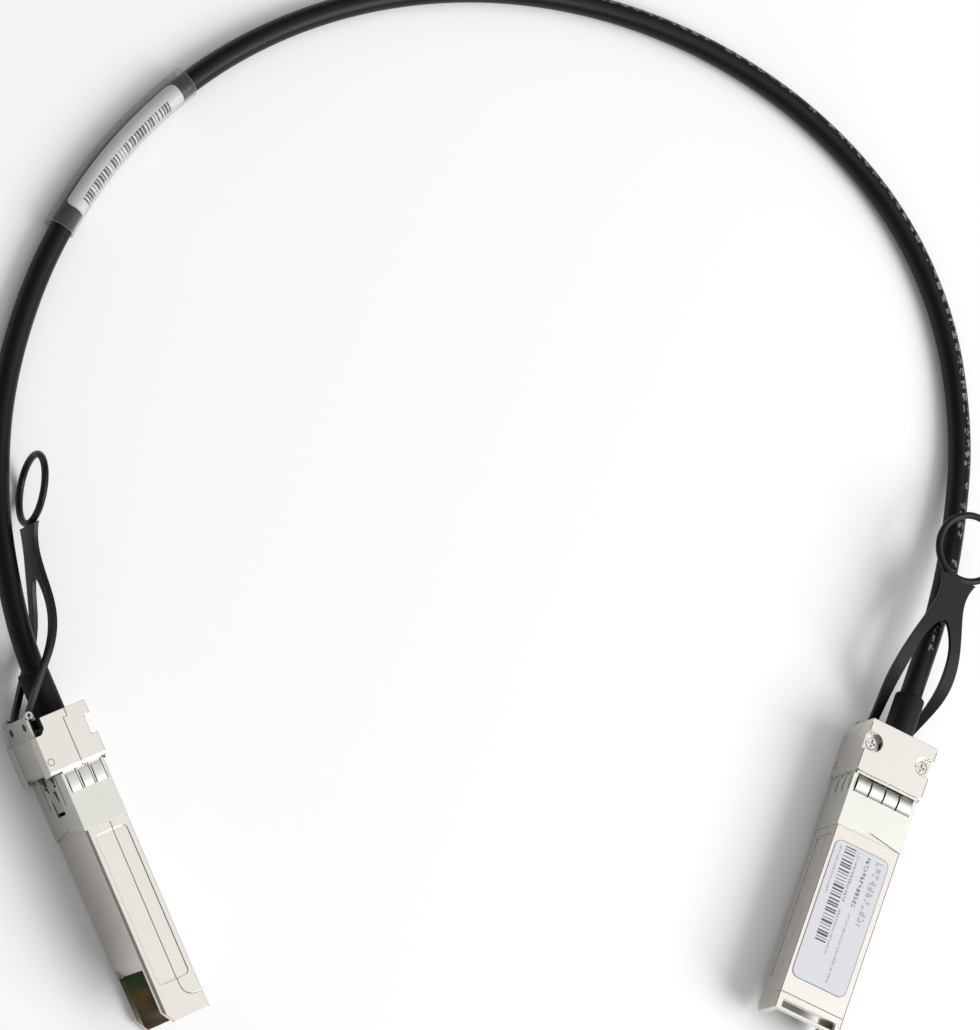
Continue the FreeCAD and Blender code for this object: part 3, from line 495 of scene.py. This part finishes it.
def sweptTree(name):
    tree = bpy.data.node_groups.new(name, "GeometryNodeTree")
    tree.interface.new_socket("Geometry", in_out="OUTPUT", socket_type="NodeSocketGeometry")
    socketInput(tree, "Geometry", "Geometry", None)
    socketInput(tree, "from", "Float", 0.0)
    socketInput(tree, "to", "Float", 0.04)
    socketInput(tree, "radius", "Float", 0.0022)
    socketInput(tree, "spread", "Float", 0.0)
    socketInput(tree, "outer angle", "Float", 0.0)
    socketInput(tree, "sweep angle", "Float", 360.0)
    socketInput(tree, "corner", "Float", 0.0)
    socketInput(tree, "steps along", "Int", 80)
    socketInput(tree, "steps round", "Int", 48)
    socketInput(tree, "finish", "Material", None)
    links = tree.links

    def make(kind, settings=None, values=None):
        node = tree.nodes.new(kind)
        for key, value in (settings or {}).items():
            setattr(node, key, value)
        for key, value in (values or {}).items():
            if isinstance(value, bpy.types.NodeSocket):
                links.new(value, node.inputs[key])
            else:
                node.inputs[key].default_value = value
        return node

    def maths(operation, first, second=0.0):
        return make("ShaderNodeMath", {"operation": operation}, {0: first, 1: second}).outputs[0]

    given = tree.nodes.new("NodeGroupInput")
    fine = make("GeometryNodeResampleCurve", {"mode": "COUNT"}, {"Curve": given.outputs["Geometry"], "Count": 1600})
    cut = make("GeometryNodeTrimCurve", {"mode": "LENGTH"}, {"Curve": fine.outputs[0]})
    lengths = [s for s in cut.inputs if s.name in ("Start", "End") and s.enabled]
    links.new(given.outputs["from"], lengths[0])
    links.new(given.outputs["to"], lengths[1])
    even = make("GeometryNodeResampleCurve", {"mode": "COUNT"},
                {"Curve": cut.outputs[0], "Count": given.outputs["steps along"]})
    up = make("GeometryNodeSetCurveNormal", {"mode": "Z_UP"}, {"Curve": even.outputs[0]})
    runParameter = make("GeometryNodeSplineParameter")
    keepRun = make("GeometryNodeCaptureAttribute", {}, {"Geometry": up.outputs[0]})
    keepRun.capture_items.new("FLOAT", "along")
    links.new(runParameter.outputs["Length"], keepRun.inputs["along"])
    # the section: a ring or part of one, opened out on its outer side
    ring = make("GeometryNodeCurvePrimitiveLine", {}, {"Start": (0, 0, 0), "End": (1, 0, 0)})
    ringSteps = make("GeometryNodeResampleCurve", {"mode": "COUNT"},
                     {"Curve": ring.outputs[0], "Count": given.outputs["steps round"]})
    share = make("GeometryNodeSplineParameter").outputs["Factor"]
    angle = maths("RADIANS", maths("SUBTRACT", given.outputs["outer angle"],
                                   maths("MULTIPLY", share, given.outputs["sweep angle"])))
    sine = maths("SINE", angle)
    across = maths("MULTIPLY", sine, given.outputs["radius"])
    across = maths("MULTIPLY", maths("ADD", across, maths("MULTIPLY", maths("GREATER_THAN", sine, 0.0),
                                                          given.outputs["spread"])), -1.0)
    height = maths("MULTIPLY", maths("MULTIPLY", maths("COSINE", angle), given.outputs["radius"]), -1.0)
    spot = make("ShaderNodeCombineXYZ", {}, {"X": across, "Y": height})
    keepRound = make("GeometryNodeCaptureAttribute", {}, {"Geometry": ringSteps.outputs[0]})
    keepRound.capture_items.new("FLOAT", "around")
    links.new(angle, keepRound.inputs["around"])
    section = make("GeometryNodeSetPosition", {}, {"Geometry": keepRound.outputs[0], "Position": spot.outputs[0]})
    sweep = make("GeometryNodeCurveToMesh", {}, {"Curve": keepRun.outputs[0], "Profile Curve": section.outputs[0],
                                                 "Fill Caps": False})
    named = make("GeometryNodeStoreNamedAttribute", {"data_type": "FLOAT", "domain": "POINT"},
                 {"Geometry": sweep.outputs[0], "Name": "along", "Value": keepRun.outputs["along"]})
    named = make("GeometryNodeStoreNamedAttribute", {"data_type": "FLOAT", "domain": "POINT"},
                 {"Geometry": named.outputs[0], "Name": "around", "Value": keepRound.outputs["around"]})
    # round the corners of an open strip
    runLength = maths("SUBTRACT", given.outputs["to"], given.outputs["from"])
    edgeRun = maths("SUBTRACT", maths("MULTIPLY", runLength, 0.5),
                    maths("ABSOLUTE", maths("SUBTRACT", keepRun.outputs["along"], maths("MULTIPLY", runLength, 0.5))))
    edgeRound = maths("MULTIPLY", given.outputs["radius"],
                      maths("SUBTRACT", maths("RADIANS", given.outputs["outer angle"]), keepRound.outputs["around"]))
    shortRun = maths("MAXIMUM", maths("SUBTRACT", given.outputs["corner"], edgeRun), 0.0)
    shortRound = maths("MAXIMUM", maths("SUBTRACT", given.outputs["corner"], edgeRound), 0.0)
    reach = maths("SQRT", maths("ADD", maths("MULTIPLY", shortRun, shortRun),
                                maths("MULTIPLY", shortRound, shortRound)))
    outside = maths("GREATER_THAN", reach, maths("ADD", given.outputs["corner"], 0.00001))
    kept = make("GeometryNodeDeleteGeometry", {"domain": "POINT"}, {"Geometry": named.outputs[0],
                                                                   "Selection": outside})
    smooth = make("GeometryNodeSetShadeSmooth", {}, {"Geometry": kept.outputs[0]})
    real = make("GeometryNodeRealizeInstances", {}, {"Geometry": smooth.outputs[0]})
    coloured = make("GeometryNodeSetMaterial", {}, {"Geometry": real.outputs[0],
                                                    "Material": given.outputs["finish"]})
    out = tree.nodes.new("NodeGroupOutput")
    links.new(coloured.outputs[0], out.inputs[0])
    return tree


def bakedPiece(name, tree, values, points):
    host = cordCurve(name + "Path", points, 0.0)
    modifier = host.modifiers.new("tree", "NODES")
    modifier.node_group = tree
    for socket in tree.interface.items_tree:
        if socket.item_type == "SOCKET" and socket.in_out == "INPUT" and socket.name in values:
            modifier[socket.identifier] = values[socket.name]
    bpy.context.view_layer.update()
    depsgraph = bpy.context.evaluated_depsgraph_get()
    mesh = bpy.data.meshes.new_from_object(host.evaluated_get(depsgraph))
    mesh.name = name
    bpy.data.objects.remove(host)
    piece = bpy.data.objects.new(name, mesh)
    scene.collection.objects.link(piece)
    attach(piece, "assembly")
    return piece


def weld(piece, gap, smooth=True):
    work = bmesh.new()
    work.from_mesh(piece.data)
    bmesh.ops.remove_doubles(work, verts=work.verts, dist=gap)
    bmesh.ops.recalc_face_normals(work, faces=work.faces)
    work.to_mesh(piece.data)
    work.free()
    piece.data.polygons.foreach_set("use_smooth", [smooth] * len(piece.data.polygons))


# The folded return spring is copied from its part and welded; the share of its length it keeps with its slider pulled
# back is printed.
def foldedSpring(side):
    mesh = nodes["return_spring_" + side].data.copy()
    piece = bpy.data.objects.new("returnSpring_" + side, mesh)
    scene.collection.objects.link(piece)
    weld(piece, 0.000001, smooth=False)
    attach(piece, "assembly")
    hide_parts("return_spring_" + side)
    slide = [one for one in frame["record"]["behaviour"]["joints"] if one["name"] == "latch_slide_" + side][0]
    origin = plugPoint(side, (0, 0, 0))
    tail = plugPoint(side, (0, 1, 0)) - origin
    places = [(vertex.co - origin).dot(tail) for vertex in mesh.vertices]
    keep = 1 - slide["range_m"][1] / (max(places) - min(places))
    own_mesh(piece)
    print("stage: spring", side, "keeps", round(keep, 3), "of its length")


foldedSpring("a")
foldedSpring("b")


sleeve = {"from": 0.0980, "to": 0.1361, "radius": 0.00252, "spread": 0.0008, "wall": 0.00025, "steps along": 90,
          "steps round": 65}
tag = {"from": 0.1022, "to": 0.1331, "radius": 0.00222, "outer angle": 62.0, "sweep angle": 177.0,
       "corner": 0.0012, "thickness": 0.00009, "steps along": 260, "steps round": 90}
sweptPiece = sweptTree("sweptOnCable")
clear = clearFilm("clearFilm", film["colour"], film["least"], film["edge"])
sleeveFilm = bakedPiece("idSleeve", sweptPiece, dict(sleeve, finish=clear), route)
weld(sleeveFilm, 0.00001)
# The wall's rim faces get the pale rim film, a painted highlight on the sleeve's cut ends.
sleeveFilm.data.materials.append(clearFilm("filmRimHighlight", film["rim"], 0.55, 0.3))
wall = sleeveFilm.modifiers.new("wall", "SOLIDIFY")
wall.thickness = sleeve["wall"]
wall.offset = -1
wall.material_offset_rim = 1
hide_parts("id_sleeve")
tagStrip = bakedPiece("idTag", sweptPiece, dict(tag, finish=barTag("barTag")), route)
skin = tagStrip.modifiers.new("skin", "SOLIDIFY")
skin.thickness = tag["thickness"]
skin.offset = -1
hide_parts("id_tag")
print("stage: sleeve and tag swept", len(sleeveFilm.data.polygons), len(tagStrip.data.polygons))

studio = {"floor": (0.93, 0.93, 0.93), "reach": 4.0, "lift": 0.16, "world": 0.24, "shadeReach": 0.02}
lamps = [  # a broad panel that the upward faces mirror, and a large soft key from the right
    {"name": "panel", "place": (0.54, 0.33, 1.22), "aim": (0, 0.05, 0), "size": 1.2, "energy": 3.9},
    {"name": "key", "place": (0.87, -0.48, 0.9), "aim": (0, 0.03, 0), "size": 0.9, "energy": 15.5},
]


def makeFloor():
    size = studio["reach"]
    mesh = bpy.data.meshes.new("floor")
    mesh.from_pydata([(-size, -size, 0), (size, -size, 0), (size, size, 0), (-size, size, 0)], [], [(0, 1, 2, 3)])
    floor = bpy.data.objects.new("floor", mesh)
    scene.collection.objects.link(floor)
    graph = Graph("floorPaper")
    path = graph.add("LightPath")
    seen = path["Is Camera Ray"] + path["Is Glossy Ray"] + path["Is Transmission Ray"]
    # Painted contact shadow: the floor's glow fades with its ambient occlusion near and under the objects.
    occlusionShade = graph.add("AmbientOcclusion", {"samples": 6}, {"Distance": studio["shadeReach"]})["AO"]
    glow = graph.blend(seen * occlusionShade, (0.0, 0.0, 0.0), (1.0, 1.0, 1.0))
    mesh.materials.append(graph.finish(Base_Color=studio["floor"], Roughness=0.9, Emission_Color=glow,
                                       Emission_Strength=studio["lift"]))


def makeLamp(values):
    data = bpy.data.lights.new(values["name"], "AREA")
    data.size = values["size"]
    data.energy = values["energy"]
    lamp = bpy.data.objects.new(values["name"], data)
    scene.collection.objects.link(lamp)
    direction = Vector(values["aim"]) - Vector(values["place"])
    spin = direction.to_track_quat("-Z", "Y").to_matrix().to_4x4()
    lamp.matrix_world = Matrix.Translation(values["place"]) @ spin


makeFloor()
world = bpy.data.worlds.new("studio")
scene.world = world
world.use_nodes = True
world.node_tree.nodes["Background"].inputs["Color"].default_value = (1.0, 1.0, 1.0, 1.0)
world.node_tree.nodes["Background"].inputs["Strength"].default_value = studio["world"]
for values in lamps:
    makeLamp(values)
print("stage: studio set")
